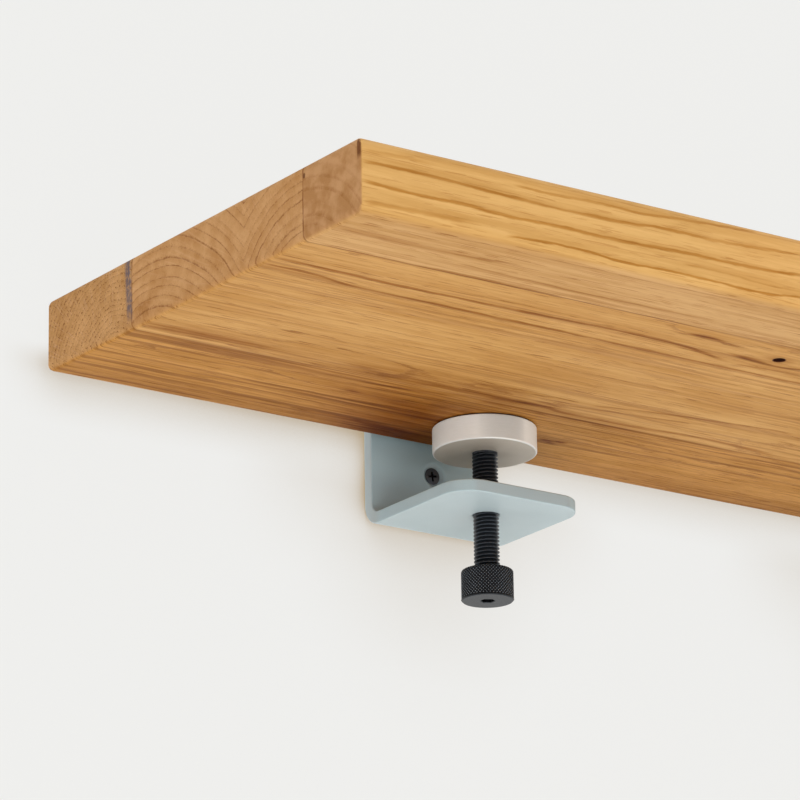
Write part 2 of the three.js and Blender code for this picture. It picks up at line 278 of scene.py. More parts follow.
# hearts are y and z of the ring centres with what each is held back, knots are x, y, half sizes and push,
# lines have a half width, a strength and points along the board, flames are x, y, half sizes and strength;
# the flames beside the pad and bracket are partly dark wood and partly painted contact shade
staves = {
    "rear": {
        "hearts": [(-54, -12, 0)], "ring": 2.15, "shift": 0.2, "wander": 5,
        "lineWidth": 0.55, "lineDepth": 0.62, "nearDepth": 1.0, "faint": 0.5, "figure": 0.6, "rearShade": 0.3,
        "endWidth": 0.8, "endDepth": 0.4, "endPores": 1.0, "blotch": 1.0, "rays": 0.18,
        "pale": (208, 151, 78), "mid": (178, 123, 56), "deep": (120, 70, 24), "endTint": (0.97, 1.08, 1.75),
        "knots": [(-88, -39.5, 7, 3, 2.5), (-189, -50, 6, 3, 2)],
        "frontLines": [],
        "lowLines": [
            (1.0, 0.6, [(-196, -60), (-150, -66)]), (1.2, 0.6, [(-143, -64.5), (-118, -66.5), (-60, -66)]),
        ],
        # the last five flames, beside the pad and bracket, are partly dark wood and partly painted contact shade
        "flamesAndShade": [
            (-254, -63.5, 44, 3.0, 0.3), (-90, -39.0, 3.6, 0.8, 1.4), (-84, -39.8, 2.6, 0.7, 1.3),
            (-87, -37.4, 2.0, 0.6, 1.0), (-189, -50, 4, 1.4, 0.7), (-150, -31, 36, 27, 0.85),
            (-147, -14, 20, 13, 0.7), (-178, -53, 24, 12, 0.25), (-153, -16, 20, 10, 0.35), (-166, -46, 26, 12, 0.13),
        ],
    },
    "middle": {
        "hearts": [(-79, -37, 30), (-178, -22, 0)], "ring": 3.7, "shift": 0.0, "wander": 6,
        "lineWidth": 0.6, "lineDepth": 0.42, "nearDepth": 1.0, "faint": 0.15, "figure": 0.34, "rearShade": 0.0,
        "endWidth": 0.85, "endDepth": 0.78, "endPores": 0.45, "blotch": 1.5, "rays": 0.18,
        "pale": (214, 164, 98), "mid": (190, 137, 72), "deep": (130, 76, 30), "endTint": (0.89, 0.88, 1.12),
        "knots": [(-75.6, -165.8, 20, 8, 8)],
        "frontLines": [],
        "lowLines": [
            (1.1, 0.95, [
                (-299, -160.5), (-270, -160), (-235, -159.2), (-191, -159.8), (-132, -161), (-116, -160), (-107, -158),
                (-90, -153.5)]),
            (0.9, 0.85, [
                (-299, -152.6), (-284, -153), (-254, -149.6), (-192, -149.5), (-132, -148.6), (-91, -148), (-51, -148),
                (60, -149)]),
            (1.1, 0.6, [(-124, -172), (-115, -173), (-105, -171), (-92, -169.5)]),
            (0.9, 0.75, [(-93, -161), (-85, -160), (-70, -159), (-60, -162), (-45, -170)]),
            (0.8, 0.7, [(-88, -152.5), (-80, -154), (-69, -155), (-57, -155), (-20, -153)]),
            (0.8, 0.55, [(-125, -77), (-50, -87)]), (0.8, 0.6, [(-102, -83.8), (-57, -92.8), (-10, -97.9)]),
            (1.3, 0.8, [
                (-143, -70.8), (-130, -71.7), (-118, -73.4), (-106, -71), (-66, -71.6), (-46, -73.3), (-3, -70)]),
        ],
        # the flames beside the pad and bracket are partly dark wood and partly painted contact shade
        "flamesAndShade": [
            (-270, -76, 34, 4.5, 0.7), (-150, -73, 44, 2.0, 0.7), (-115, -173, 8, 1.6, 0.9), (-88, -161, 7, 1.6, 0.8),
            (-75.6, -165.8, 6.5, 3.2, 0.6), (-201, -75.7, 9, 1.8, 0.5), (-182, -68, 30, 13, 0.4),
            (-132, -70, 24, 6, 0.35), (-160, -82, 36, 17, 0.16), (-262, -175, 34, 5, 0.13),
        ],
    },
    "front": {
        "hearts": [(-176, -24, 0)], "ring": 4.35, "shift": 0.27, "wander": 5,
        "lineWidth": 0.6, "lineDepth": 0.45, "nearDepth": 0.67, "faint": 0.15, "figure": 0.3, "rearShade": 0.0,
        "endWidth": 1.9, "endDepth": 0.35, "endPores": 0.12, "blotch": 3.5, "rays": 0.06,
        "pale": (213, 167, 110), "mid": (192, 144, 86), "deep": (142, 86, 34), "endTint": (0.80, 0.73, 0.78),
        "knots": [],
        "frontLines": [
            (0.8, 0.4, [(-299, 22.8), (-282, 23.6), (-264, 23.8)]),
            (0.65, 0.85, [
                (-299, 18.9), (-276, 19.3), (-240, 18.4), (-210, 18), (-184, 18.4), (-167, 19.6), (-146, 19.5),
                (-121, 20.7), (-100, 22.8)]),
            (0.7, 0.9, [
                (-299, 11.6), (-268, 11.1), (-252, 11.3), (-241, 10.7), (-216, 11.1), (-183, 11.4), (-156, 12),
                (-132, 12.4), (-112, 13.5), (-98, 15.2)]),
            (0.5, 0.95, [
                (-238, 3.2), (-207, 4.4), (-187, 3.6), (-168, 3.8), (-149, 3.9), (-127, 3.4), (-112, 4.6), (-94, 5.4)]),
            (0.9, 0.55, [(-299, 4), (-285, 4.8), (-264, 5.3), (-246, 5.7)]),
            (0.4, 0.5, [(-160, 7.6), (-137, 7.8), (-124, 7.1), (-98, 8)]),
            (0.55, 0.65, [
                (-234, 23), (-216, 22.7), (-200, 23.5), (-180, 23.3), (-165, 24.2), (-147, 25.3), (-122, 26.9)]),
        ],
        "lowLines": [
            (0.8, 0.5, [(-296, -197.4), (-261, -196.6), (-244, -197.2), (-221, -200.9)]),
            (0.6, 0.5, [(-240, -190), (-170, -188), (-120, -190)]),
            (0.9, 0.75, [(-299, -179), (-262, -179.6), (-230, -180.6), (-190, -180.2)]),
            (0.8, 0.5, [(-120, -186.5), (-111, -188), (-103, -186)]), (0.7, 0.45, [(-101, -183.5), (-86, -184.2)]),
        ],
        "flamesAndShade": [(-284, -183.5, 30, 5, 0.1)],
    },
}

# tints are the share of the colour that stays, tones are colours as seen, places and half widths are in mm
marks = {
    "frontLitTint": (1.12, 1.13, 0.99, 1.0), "rightTint": (1.09, 1.09, 1.13, 1.0), "rightFrom": (-165.0, -115.0),
    "frontStain": (0.6, 0.44, 0.2), "lowStain": (0.54, 0.36, 0.16), "flameAndShadeStain": (0.4, 0.21, 0.03),
    "ray": (226, 180, 122), "seam": (116, 60, 20), "seamWidths": (0.15, 0.6),
    "ink": (100, 89, 95), "inkY": -66.4, "inkLean": 0.08, "inkWidths": (2.7, 1.0), "inkFoot": (2.0, 9.0),
    "check": (104, 56, 24), "checkY": -214.4, "checkWidths": (1.3, 0.7), "checkFoot": (19.5, 22.5),
    "spot": (96, 52, 24), "spotPlace": (-180.6, 24.4), "spotSize": (0.8, 1.1),
    "holeWoodAndShade": (84, 40, 18), "holeDeepShade": (46, 18, 8),
}


def oakFinish(name, grain):
    f = Finish(name, {"Metallic": 0.0, "Specular IOR Level": 0.1})
    x, y, z = f.place()
    nx, ny, nz = f.facing()
    endGrain = f.step(nx.maths("ABSOLUTE"), 0.45, 0.9)
    longGrain = 1.0 - endGrain
    frontFace = f.step(-ny, 0.35, 0.85)
    below = f.step(z, 12.0, 6.0)

    # the ring field: distance from the hearts, with the place bent a little along the board
    wander = f.noise(x * 0.008, y * 0.016, z * 0.016, 2.0) - 0.5
    wanderUp = f.noise(x * 0.008 + 9.3, y * 0.016, z * 0.016, 2.0) - 0.5
    ripple = f.noise(x * 0.03, y * 0.09 + 4.0, z * 0.09, 2.0) - 0.5
    ragged = f.noise(x * 0.16, y * 0.5, z * 0.5, 2.0) - 0.5
    rough = ragged * f.step(x, -220.0, 60.0, 0.7, 1.8)
    across = y + wander * grain["wander"] + ripple * 1.6 + rough
    up = z + wanderUp * grain["wander"] + ripple * 1.6 + rough
    for knotX, knotY, longways, crossways, push in grain["knots"]:
        kx, ky = (x - knotX) / longways, (y - knotY) / crossways
        across = across - ky * (-(kx * kx + ky * ky)).maths("EXPONENT") * push * below
    reach = None
    for heartY, heartZ, held in grain["hearts"]:
        dy, dz = across - heartY, up - heartZ
        distance = (dy * dy + dz * dz).maths("SQRT") - held
        reach = distance if reach is None else f.sum("SMOOTH_MIN", reach, distance, 2.0)
    rings = reach / grain["ring"] + grain["shift"]
    uneven = f.noise(rings * 0.75, 3.1, 7.7, 1.0) - 0.5
    past = (rings + uneven * 1.1).maths("FRACT") * grain["ring"]  # mm out from the last ring line
    vigour = f.noise(rings * 1.0 + 5.0, x * 0.015, 1.7, 2.0)
    comes = f.noise(x * 0.03, y * 0.22, z * 0.22, 2.0)  # ring lines come and go along their way

    # ring lines, the pores that gather on them, and fine fibre
    width = (longGrain * grain["lineWidth"] + endGrain * grain["endWidth"]) * (0.5 + comes)
    line = f.step(past, 0.0, 0.16) * f.step(past, width, width * 0.25)
    strong = f.step(vigour, 0.34, 0.58, grain["faint"], 1.0) * f.step(comes, 0.36, 0.6, 0.4, 1.0)
    lineDepth = f.step(x, -140.0, -60.0, grain["nearDepth"], 1.0) * grain["lineDepth"]
    line = line * (longGrain * strong * lineDepth + endGrain * (0.12 + strong * 0.88) * grain["endDepth"])
    reedField = f.noise(x * 0.004, (y + ripple * 2.0 + wander * 4.0) * 0.36, 2.7, 1.0)  # long fine lines
    reed = f.step(reedField, 0.54, 0.66) * f.step(comes, 0.3, 0.55, 0.5, 1.0) * longGrain * (1.0 - frontFace)
    line = line.maths("MAXIMUM", reed * grain["figure"])
    early = f.step(past, 1.5, 0.3)
    poreField = f.noise(x * 0.075, y * 1.7, z * 1.7, 1.0)
    line = line * (1.0 - endGrain * f.step(poreField, 0.55, 0.4) * 0.45)  # ring lines break into pores on the ends
    gather = 0.63 - early * 0.05
    pores = f.step(poreField, gather, gather + 0.05)
    fibre = f.noise(x * 0.045, y * 1.0, z * 1.0, 3.0, 0.6) - 0.5
    streak = f.noise(x * 0.016, y * 0.36, z * 0.36, 2.0) - 0.5
    band = f.noise(x * 0.005, y * 0.1, z * 0.1, 2.0) - 0.5
    cloud = f.noise(x * 0.018, y * 0.03, z * 0.03, 2.0) - 0.5
    blotch = f.noise(x * 0.02, y * 0.14 + z * 0.05, z * 0.14 - y * 0.05, 3.0) - 0.5

    soft = 0.45 + fibre * (0.5 + longGrain * 0.5) + streak * (0.2 + longGrain * 0.9) + band * 1.1
    soft = soft + cloud * 0.9 + endGrain * blotch * grain["blotch"]
    soft = soft + f.step(past, grain["ring"] * 0.35, grain["ring"]) * 0.2
    colour = f.mix(f.step(soft, -0.1, 1.1), tone(*grain["pale"]), tone(*grain["mid"]))
    rays = f.noise((dz / dy).maths("ARCTANGENT") * 70.0, reach * 0.12, x * 0.02, 1.0)
    colour = f.mix(f.step(rays, 0.56, 0.7) * endGrain * grain["rays"], colour, tone(*marks["ray"]))
    colour = f.mix(endGrain, colour, (*grain["endTint"], 1.0), "MULTIPLY")
    gathered = longGrain * (1.0 - frontFace * 0.5) * (0.38 + early * 0.3)
    gathered = gathered + endGrain * grain["endPores"] * (0.3 + early * 0.7)
    dark = line.maths("MAXIMUM", pores * gathered)
    deepened = [deep / plain for deep, plain in zip(tone(*grain["deep"])[:3], tone(*grain["mid"]))]
    colour = f.stain(dark + f.step(y, -34.0, -8.0) * grain["rearShade"] * longGrain, colour, deepened)
    # painted light: the front face is drawn lighter, as if lit from the front, and lighter still towards the right
    colour = f.mix(frontFace, colour, marks["frontLitTint"], "MULTIPLY")
    colour = f.mix(frontFace * f.step(x, *marks["rightFrom"]), colour, marks["rightTint"], "MULTIPLY")

    # marks of this board: drawn lines, flames and painted contact shade beside the pad, glue joints, ink, a check, and
    # a knot hole with painted shade inside
    underside = below * longGrain * (1.0 - frontFace)
    faces = (
        (grain["frontLines"], z, frontFace, marks["frontStain"]),
        (grain["lowLines"], y, underside, marks["lowStain"]))
    for lines, height, mask, stain in faces:
        drawn = None
        for halfWidth, strength, points in lines:
            start, end = points[0][0], points[-1][0]
            off = height + ripple * 1.2 + ragged * 0.9 - f.through(x, points)
            ends = f.step(x, start - 1.0, start + 6.0) * f.step(x, end + 3.0, end - 14.0)
            mark = f.step(off.maths("ABSOLUTE"), halfWidth * 0.35, halfWidth * 1.5, 1.0, 0.0)
            trail = f.step(off, -0.2, 0.3) * f.step(off, 3.0, 0.2) * 0.28  # fainter wood beside the line
            mark = mark.maths("MAXIMUM", trail) * ends * strength
            drawn = mark if drawn is None else drawn.maths("MAXIMUM", mark)
        if drawn is not None:
            drawn = drawn * mask * f.step(comes, 0.3, 0.55, 0.6, 1.0) * (0.95 + fibre * 0.8)
            colour = f.stain(drawn, colour, stain)
    # flames darken the wood; beside the pad and bracket they are painted contact shade as well as dark wood
    for patchX, patchY, longways, crossways, strength in grain["flamesAndShade"]:
        fx, fy = (x - patchX) / longways, (y + ripple * 3.0 - patchY) / crossways
        flameAndShade = (-(fx * fx + fy * fy)).maths("EXPONENT") * below * strength * (0.9 + streak * 1.5 + fibre)
        colour = f.stain(flameAndShade, colour, marks["flameAndShadeStain"])

    joints = (
        (board["frontJoint"], f.step(x, -70.0, -150.0, 0.4, 0.75)),
        (board["rearJoint"], f.step(x, -150.0, -240.0, 0.35, 0.65)))
    for joint, strength in joints:
        away = (y - joint + ripple * 0.6).maths("ABSOLUTE")
        broken = f.noise(x * 0.02, 3.0, z * 0.12, 2.0)
        seam = f.step(away, *marks["seamWidths"], 1.0, 0.0) * f.step(broken, 0.35, 0.6, 0.4, 1.0)
        colour = f.mix(seam * strength, colour, tone(*marks["seam"]))

    leftEnd = f.step(x, -200.0, -250.0) * endGrain
    blot = f.noise(3.0, y * 0.9, z * 0.5, 3.0)
    fromInk = (y - marks["inkY"] - z * marks["inkLean"] + blot * 1.6 - 0.8).maths("ABSOLUTE")
    inked = f.step(fromInk, *marks["inkWidths"]) * f.step(z, *marks["inkFoot"]) * leftEnd
    colour = f.mix(inked * f.step(blot, 0.3, 0.6, 0.3, 0.9), colour, tone(*marks["ink"]))
    fromCheck = (y - marks["checkY"]).maths("ABSOLUTE")
    check = f.step(fromCheck, *marks["checkWidths"]) * f.step(z, *marks["checkFoot"]) * leftEnd
    colour = f.mix(check * 0.85, colour, tone(*marks["check"]))
    (spotY, spotZ), (spotWide, spotHigh) = marks["spotPlace"], marks["spotSize"]
    sy, sz = (y - spotY) / spotWide, (z - spotZ) / spotHigh
    spot = f.step(sy * sy + sz * sz, 1.3, 0.5) * leftEnd
    colour = f.mix(spot * 0.8, colour, tone(*marks["spot"]))
    # the knot hole: its rim and inside are drawn dark, as dark knot wood and painted shade, and deeper in the hole
    # darker still, as painted shade
    (holeX, holeY), (holeLong, holeWide) = board["knotHole"], board["knotHoleSize"][:2]
    hx, hy = (x - holeX) / holeLong, (y - holeY) / holeWide
    holeWoodAndShade = f.step(hx * hx + hy * hy, 1.5, 0.95) * below
    colour = f.mix(holeWoodAndShade, colour, tone(*marks["holeWoodAndShade"]))
    colour = f.mix(holeWoodAndShade * f.step(z, 0.6, 0.9), colour, tone(*marks["holeDeepShade"]))
    f.feed({"Base Color": colour, "Roughness": f.step(soft + pores * 0.4 + endGrain * 0.5, 0.0, 1.6, 0.5, 0.68)})
    f.bump(fibre * 0.3 - line * 0.4 - pores * 0.7, 0.35, 0.0003)
    return f


def stave(name, node, low, high, roundRear, roundFront, finish, hollows=()):
    b = board
    bm = bmesh.new()
    bmesh.ops.create_cube(bm, size=1.0)
    size = (2 * b["halfLength"], high - low, b["top"] - b["bottom"])
    bmesh.ops.scale(bm, verts=bm.verts, vec=size)
    move(bm, (0, (low + high) / 2, (b["top"] + b["bottom"]) / 2))
    share = bm.edges.layers.float.new("bevel_weight_edge")
    for edge in bm.edges:
        middle = (edge.verts[0].co + edge.verts[1].co) / 2
        level = middle.z > b["top"] - 1 or middle.z < b["bottom"] + 1
        atRear, atFront = roundRear and middle.y > high - 0.1, roundFront and middle.y < low + 0.1
        if level and abs(middle.x) > b["halfLength"] - 1:
            radius = b["endEdge"]
        elif level:
            radius = b["rearEdge"] if atRear else b["frontEdge"] if atFront else 0
        else:
            radius = b["uprightEdge"] if atRear or atFront else 0
        edge[share] = radius / b["frontEdge"]

    def easeEdges(block):
        ease = block.modifiers.new("ease", "BEVEL")
        ease.width, ease.segments, ease.limit_method = b["frontEdge"], b["edgeSegments"], "WEIGHT"
        return []
    bm = settled(bm, easeEdges)
    bm.edges.layers.float.remove(bm.edges.layers.float["bevel_weight_edge"])
    toMetres(bm)
    if hollows:
        bm = carve(bm, hollows)
    finishPiece(bm, name, "shelf", node, finish)


def knotHollow():
    (x, y), (long, wide, deep) = board["knotHole"], board["knotHoleSize"]
    bm = bmesh.new()
    bmesh.ops.create_icosphere(bm, subdivisions=3, radius=1.0)
    bmesh.ops.scale(bm, verts=bm.verts, vec=(long, wide, deep))
    move(bm, (x, y, board["bottom"]))
    return toMetres(bm)


stave(
    "oakStaveRear", "rear_stave", board["rearJoint"], board["rear"], True, False,
    oakFinish("oakRear", staves["rear"]))
stave(
    "oakStaveMiddle", "middle_stave", board["frontJoint"], board["rearJoint"], False, False,
    oakFinish("oakMiddle", staves["middle"]), [knotHollow()])
stave(
    "oakStaveFront", "front_stave", board["front"], board["frontJoint"], False, True,
    oakFinish("oakFront", staves["front"]))
print("board: three oak staves")


# metal and rubber finishes

def fromScrew(x, y):  # distance from the clamp screw's axis, mm, for both brackets
    side, fore = x.maths("ABSOLUTE") - sides["right"], y - screwY
    return (side * side + fore * fore).maths("SQRT")


def powderCoat():
    f = Finish("powderCoat", {"Metallic": 0.0})
    x, y, z = f.place()
    speckle = f.noise(x * 4.0, y * 4.0, z * 4.0, 2.0)
    cloud = f.noise(x * 0.05, y * 0.05, z * 0.05, 2.0)
    nx, ny, nz = f.facing()
    colour = f.mix(f.step(speckle, 0.3, 0.7), tone(185, 201, 206), tone(195, 209, 213))
    colour = f.mix(f.step(cloud, 0.3, 0.7) * 0.35, colour, tone(184, 199, 203))
    onPlate = f.step(y, -12.0, -6.0)
    litAndShadedTints = (  # painted light and shade: where the paint is drawn darker or lighter for how light falls on it, and by what
        # sides and tops painted darker and bluer than the undersides, as painted shade
        (f.step(-nz, 0.8, 0.3), (0.82, 0.91, 0.96, 1.0)),
        # the tongue's front edge painted darker, as painted shade under the board
        (f.step(y, -63.0, -64.2) * f.step(-nz, 0.6, 0.3), (0.92, 0.87, 0.86, 1.0)),
        # the plate's upper front painted lighter, as painted light in the shade under the board
        (onPlate * f.step(z, -20.0, -8.0) * f.step(-ny, 0.5, 0.9), (1.17, 1.17, 1.14, 1.0)),
        # the plate's left edge painted darker and warmer, as painted shade
        (onPlate * f.step(-nx, 0.5, 0.9), (0.98, 0.88, 0.83, 1.0)))
    for where, tint in litAndShadedTints:
        colour = f.mix(where, colour, tint, "MULTIPLY")
    f.feed({"Base Color": colour, "Roughness": f.step(cloud, 0.2, 0.8, 0.42, 0.54)})
    f.bump(speckle, 0.25, 0.00012)
    return f


def blackOxide(name, wearAndGlintRadii):  # the radii between which the thread is painted lighter towards its crest, for wear and as a painted highlight
    f = Finish(name, {"Metallic": 0.55})
    x, y, z = f.place()
    grain = f.noise(x * 2.5, y * 2.5, z * 2.5, 3.0)
    crestWearAndGlint = f.step(fromScrew(x, y) + grain * 0.2 - 0.1, *wearAndGlintRadii)
    colour = f.mix(crestWearAndGlint * 0.8, tone(24, 29, 35), tone(84, 90, 98))
    crossShade = f.step(y, -3.76, -3.6) * f.step(y, 4.0, 2.0)  # painted shade inside the wall screw's cross
    colour = f.mix(crossShade, colour, tone(6, 7, 9))
    f.feed({"Base Color": colour, "Roughness": f.step(grain, 0.25, 0.75, 0.32, 0.48)})
    f.bump(grain, 0.2, 0.00008)
    return f


def knobOxide():
    f = Finish("knobOxide", {"Metallic": 0.5})
    x, y, z = f.place()
    grain = f.noise(x * 2.5, y * 2.5, z * 2.5, 3.0)
    ridge = f.add("ShaderNodeAttribute", {"attribute_name": "ridge"}, {})["Fac"]
    face = f.step(z, -68.85, -69.05)  # the flat foot and its chamfer
    # the knurl's grooves are drawn near black as painted shade, and its peaks bright as painted glints and wear
    colour = f.mix(f.step(ridge, 0.25, 0.6), tone(5, 8, 14), tone(38, 44, 52))
    colour = f.mix(f.step(ridge, 0.68, 0.9), colour, tone(178, 184, 191))
    colour = f.mix(face, colour, f.mix(grain, tone(47, 51, 56), tone(60, 64, 68)))
    rings = (fromScrew(x, y) * 14.0).maths("SINE") * face
    f.feed({"Base Color": colour, "Roughness": f.step(grain, 0.25, 0.75, 0.34, 0.5)})
    f.bump(rings * 0.3 + grain * 0.5, 0.2, 0.00008)
    return f


def satinNickel():
    f = Finish("satinNickel", {"Metallic": 0.12})
    x, y, z = f.place()
    nx, ny, nz = f.facing()
    flat = f.step(nz.maths("ABSOLUTE"), 0.6, 0.9)
    around = f.noise(fromScrew(x, y) * 5.0, 0.0, 0.0, 3.0)
    along = f.noise(x * 0.35, y * 0.35, z * 5.0, 3.0)
    marks = around * flat + along * (1.0 - flat)
    smudge = f.noise(x * 0.12, y * 0.12, z * 0.12, 2.0)
    # painted light: the sides are drawn near white, brighter than the nickel, as lit and shaded copies of it
    side = f.mix(f.step(marks, 0.25, 0.75), tone(246, 249, 247), tone(252, 254, 253))
    reflectionBands = [
        (-1.0, 1.0), (-0.2, 1.0), (-0.05, 0.88), (0.1, 0.77), (0.3, 0.7), (0.6, 0.71), (0.7, 0.82), (0.8, 1.0),
        (1.0, 1.0)]
    paintedReflection = f.through(nx * 0.82 - ny * 0.57, reflectionBands)  # painted reflections: the side is drawn lighter or darker in soft upright bands by the way it faces
    side = f.mix(1.0 - paintedReflection, side, tone(0, 0, 0))
    # the flat faces are drawn darker and warmer than the sides, as painted shade
    face = f.mix(f.step(marks, 0.25, 0.75), tone(214, 204, 191), tone(224, 214, 201))
    colour = f.mix(flat, side, face)
    colour = f.mix(f.step(smudge, 0.35, 0.7) * 0.4, colour, (0.94, 0.94, 0.94, 1.0), "MULTIPLY")
    rim = f.step(z, -9.3, -9.6) * f.step(fromScrew(x, y), 19.5, 19.9)  # the chamfer at the foot, painted as a bright highlight line
    colour = f.mix(rim, colour, tone(249, 249, 248))
    f.feed({"Base Color": colour, "Roughness": f.step(smudge, 0.2, 0.8, 0.36, 0.46)})
    f.bump(marks, 0.1, 0.00005)
    return f


def springSteel():
    f = Finish("springSteel", {"Metallic": 1.0})
    x, y, z = f.place()
    grain = f.noise(x * 3.0, y * 3.0, z * 9.0, 2.0)
    colour = f.mix(grain, tone(150, 152, 153), tone(176, 177, 178))
    f.feed({"Base Color": colour, "Roughness": f.step(grain, 0.2, 0.8, 0.3, 0.42)})
    return f


def mattRubber():
    f = Finish("mattRubber", {"Metallic": 0.0})
    x, y, z = f.place()
    grain = f.noise(x * 5.0, y * 5.0, z * 5.0, 3.0)
    colour = f.mix(grain, tone(34, 34, 36), tone(48, 48, 50))
    f.feed({"Base Color": colour, "Roughness": f.step(grain, 0.2, 0.8, 0.75, 0.9)})
    f.bump(grain, 0.3, 0.0001)
    return f


finishes = {
    "paint": powderCoat(), "thread": blackOxide("threadOxide", (4.55, 5.0)),
    "head": blackOxide("headOxide", (20, 21)),  # wall screws lie further out, so they are bright all over
    "knob": knobOxide(), "nickel": satinNickel(), "spring": springSteel(), "rubber": mattRubber(),
}
print("finishes: paint, oxide, nickel, spring steel, rubber")


def fit(bm, side, name, body, finish, smoothUnder=35, weighted=True):
    # a piece of the hardware on one side; its node is its name in small letters, with underscores
    node = side + "".join("_" + letter.lower() if letter.isupper() else letter for letter in name)
    rider = body if body == "shelf" else side + "_" + body
    return finishPiece(bm, side + name, rider, node, finishes[finish], smoothUnder, weighted)


# folded bracket

bracket = {
    "width": 60, "reach": 64.5, "halfHeight": 35, "thickness": 5, "innerBend": 4, "corner": 12,
    "bendSegments": 14, "cornerSegments": 14, "edge": 0.6, "edgeSegments": 3, "edgeAngle": 38,
    "threadHole": 5.05, "threadHoleSteps": 64, "threadHoleRun": 10,  # the run is the cutter's, up and down
    "screwHole": 2.3, "screwHoleSteps": 48, "screwHoleRun": 1, "countersink": 5, "screwSpacing": 20,
}


def foldedBracket(side, middle):
    b = bracket
    h = b["halfHeight"]
    bm = bmesh.new()
    section = ((-b["reach"], h), (0, h), (0, -h), (-b["reach"], -h))
    strip = [bm.verts.new((-b["width"] / 2, y, z)) for y, z in section]
    for pair in zip(strip, strip[1:]):
        bm.edges.new(pair)
    bevel(bm, strip[1:3], b["innerBend"] + b["thickness"], b["bendSegments"])
    grown = bmesh.ops.extrude_edge_only(bm, edges=bm.edges[:])
    bmesh.ops.translate(bm, verts=newVerts(grown), vec=(b["width"], 0, 0))
    bevel(bm, [v for v in bm.verts if v.co.y < -b["reach"] + 0.01], b["corner"], b["cornerSegments"])
    bmesh.ops.recalc_face_normals(bm, faces=bm.faces)
    outward = max(bm.faces, key=lambda face: face.calc_center_median().z).normal.z > 0
    bmesh.ops.solidify(bm, geom=bm.faces[:], thickness=b["thickness"] if outward else -b["thickness"])

    hole, low, high = b["threadHole"], -h - b["threadHoleRun"], -h + b["threadHoleRun"]
    outline = [(0, low, 0), (hole, low, 0), (hole, high, 0), (0, high, 0)]
    cutters = [turned(outline, (0, screwY, 0), b["threadHoleSteps"])]
    face, hole, run = -b["thickness"], b["screwHole"], b["screwHoleRun"]
    throat = face + b["countersink"] - hole
    flare, past = b["countersink"] + run, face - run
    outline = [(0, past, 0), (flare, past, 0), (hole, throat, 0), (hole, run, 0), (0, run, 0)]
    for height in (b["screwSpacing"] / 2, -b["screwSpacing"] / 2):
        cutters.append(turned(outline, (0, 0, height), b["screwHoleSteps"], "Y"))
    for shape in (bm, *cutters):
        move(shape, (middle, 0, 0))
        toMetres(shape)
    piece = fit(carve(bm, cutters), side, "Bracket", "shelf", "paint", smoothUnder=40, weighted=False)
    soft = piece.modifiers.new("softEdges", "BEVEL")
    soft.width, soft.segments = b["edge"] * mm, b["edgeSegments"]
    soft.limit_method, soft.angle_limit = "ANGLE", math.radians(b["edgeAngle"])
    even = piece.modifiers.new("even", "WEIGHTED_NORMAL")
    even.keep_sharp = False


# clamp screw, knob, pad

screw = {
    "radius": 5, "root": 4.08, "pitch": 1.5, "foot": -63.3, "threadTop": -10.6, "tip": -4.2, "chamfer": 0.8,
    "play": 0.1, "neck": 4.2, "ringMiddle": -7.3, "grooveHalf": 0.8, "rounding": 0.1, "steps": 48,
    "fillet": 0.12, "flanks": (0.12, 0.44, 0.52, 0.6, 0.68),  # the flanks' places, in pitches
}
knob = {
    "radius": 10.2, "top": -57.0, "bottom": -69.2, "shoulder": 1.0, "edge": 0.5, "bore": 5.3, "boreDepth": 6.6,
    "socket": 2.5, "socketDepth": 3.5, "socketEdge": 0.25, "boreEdge": 0.3, "shoulderSteps": 6,
    "diamonds": 48, "diamondHeight": 1.36, "fineness": 6, "knurlDepth": 0.45,
    "knurlInside": 0.8, "rimInside": 0.9,  # how far these lie inside the shoulder
    "knurlOver": 0.8,  # a mm inward counts as this many mm up
    "fadeTop": 0.9, "fadeFoot": 0.35,  # over what stretch the knurl fades
}
pad = {
    "radius": 20.3, "bottom": -10, "top": 0, "edge": 0.5, "pocket": 5.3, "mouth": 5.0, "groove": 6.5, "ceiling": -3.9,
    "linerRadius": 19.5, "liner": 0.5, "smallEdge": 0.12, "steps": 144,
}
ring = {"inner": 4.5, "outer": 6.2, "thickness": 1, "gap": 5, "steps": 60}


def threaded(s, middle):
    # one turn of the thread's section is wound, copied up the axis, then cut square at both ends
    radius, root, fillet, pitch, steps = s["radius"], s["root"], s["root"] + s["fillet"], s["pitch"], s["steps"]
    low, high = s["foot"], s["threadTop"]
    bm = bmesh.new()
    section = zip((radius, radius, fillet, root, root, fillet, radius), (0, *s["flanks"], 1.0))
    chain = [bm.verts.new((r, 0, low - pitch + part * pitch)) for r, part in section]
    for pair in zip(chain, chain[1:]):
        bm.edges.new(pair)
    wind(bm, 2 * math.pi, steps, pitch / steps)
    oneTurn = bm.verts[:] + bm.edges[:] + bm.faces[:]
    for count in range(1, math.ceil((high - low) / pitch) + 2):
        copied = bmesh.ops.duplicate(bm, geom=oneTurn)
        bmesh.ops.translate(bm, verts=newVerts(copied), vec=(0, 0, pitch * count))
    bmesh.ops.remove_doubles(bm, verts=bm.verts, dist=1e-3)
    for height, normal in ((low, (0, 0, -1)), (high, (0, 0, 1))):
        whole = bm.verts[:] + bm.edges[:] + bm.faces[:]
        bmesh.ops.bisect_plane(bm, geom=whole, plane_co=(0, 0, height), plane_no=normal, clear_outer=True)
        rim = [e for e in bm.edges if e.is_boundary and all(abs(v.co.z - height) < 1e-4 for v in e.verts)]
        bmesh.ops.holes_fill(bm, edges=rim, sides=0)
    move(bm, middle)
    return bm


def merge(bm, other):  # adds another bmesh's shape to the first
    spare = bpy.data.meshes.new("spare")
    other.to_mesh(spare)
    other.free()
    bm.from_mesh(spare)
    bpy.data.meshes.remove(spare)
    return bm


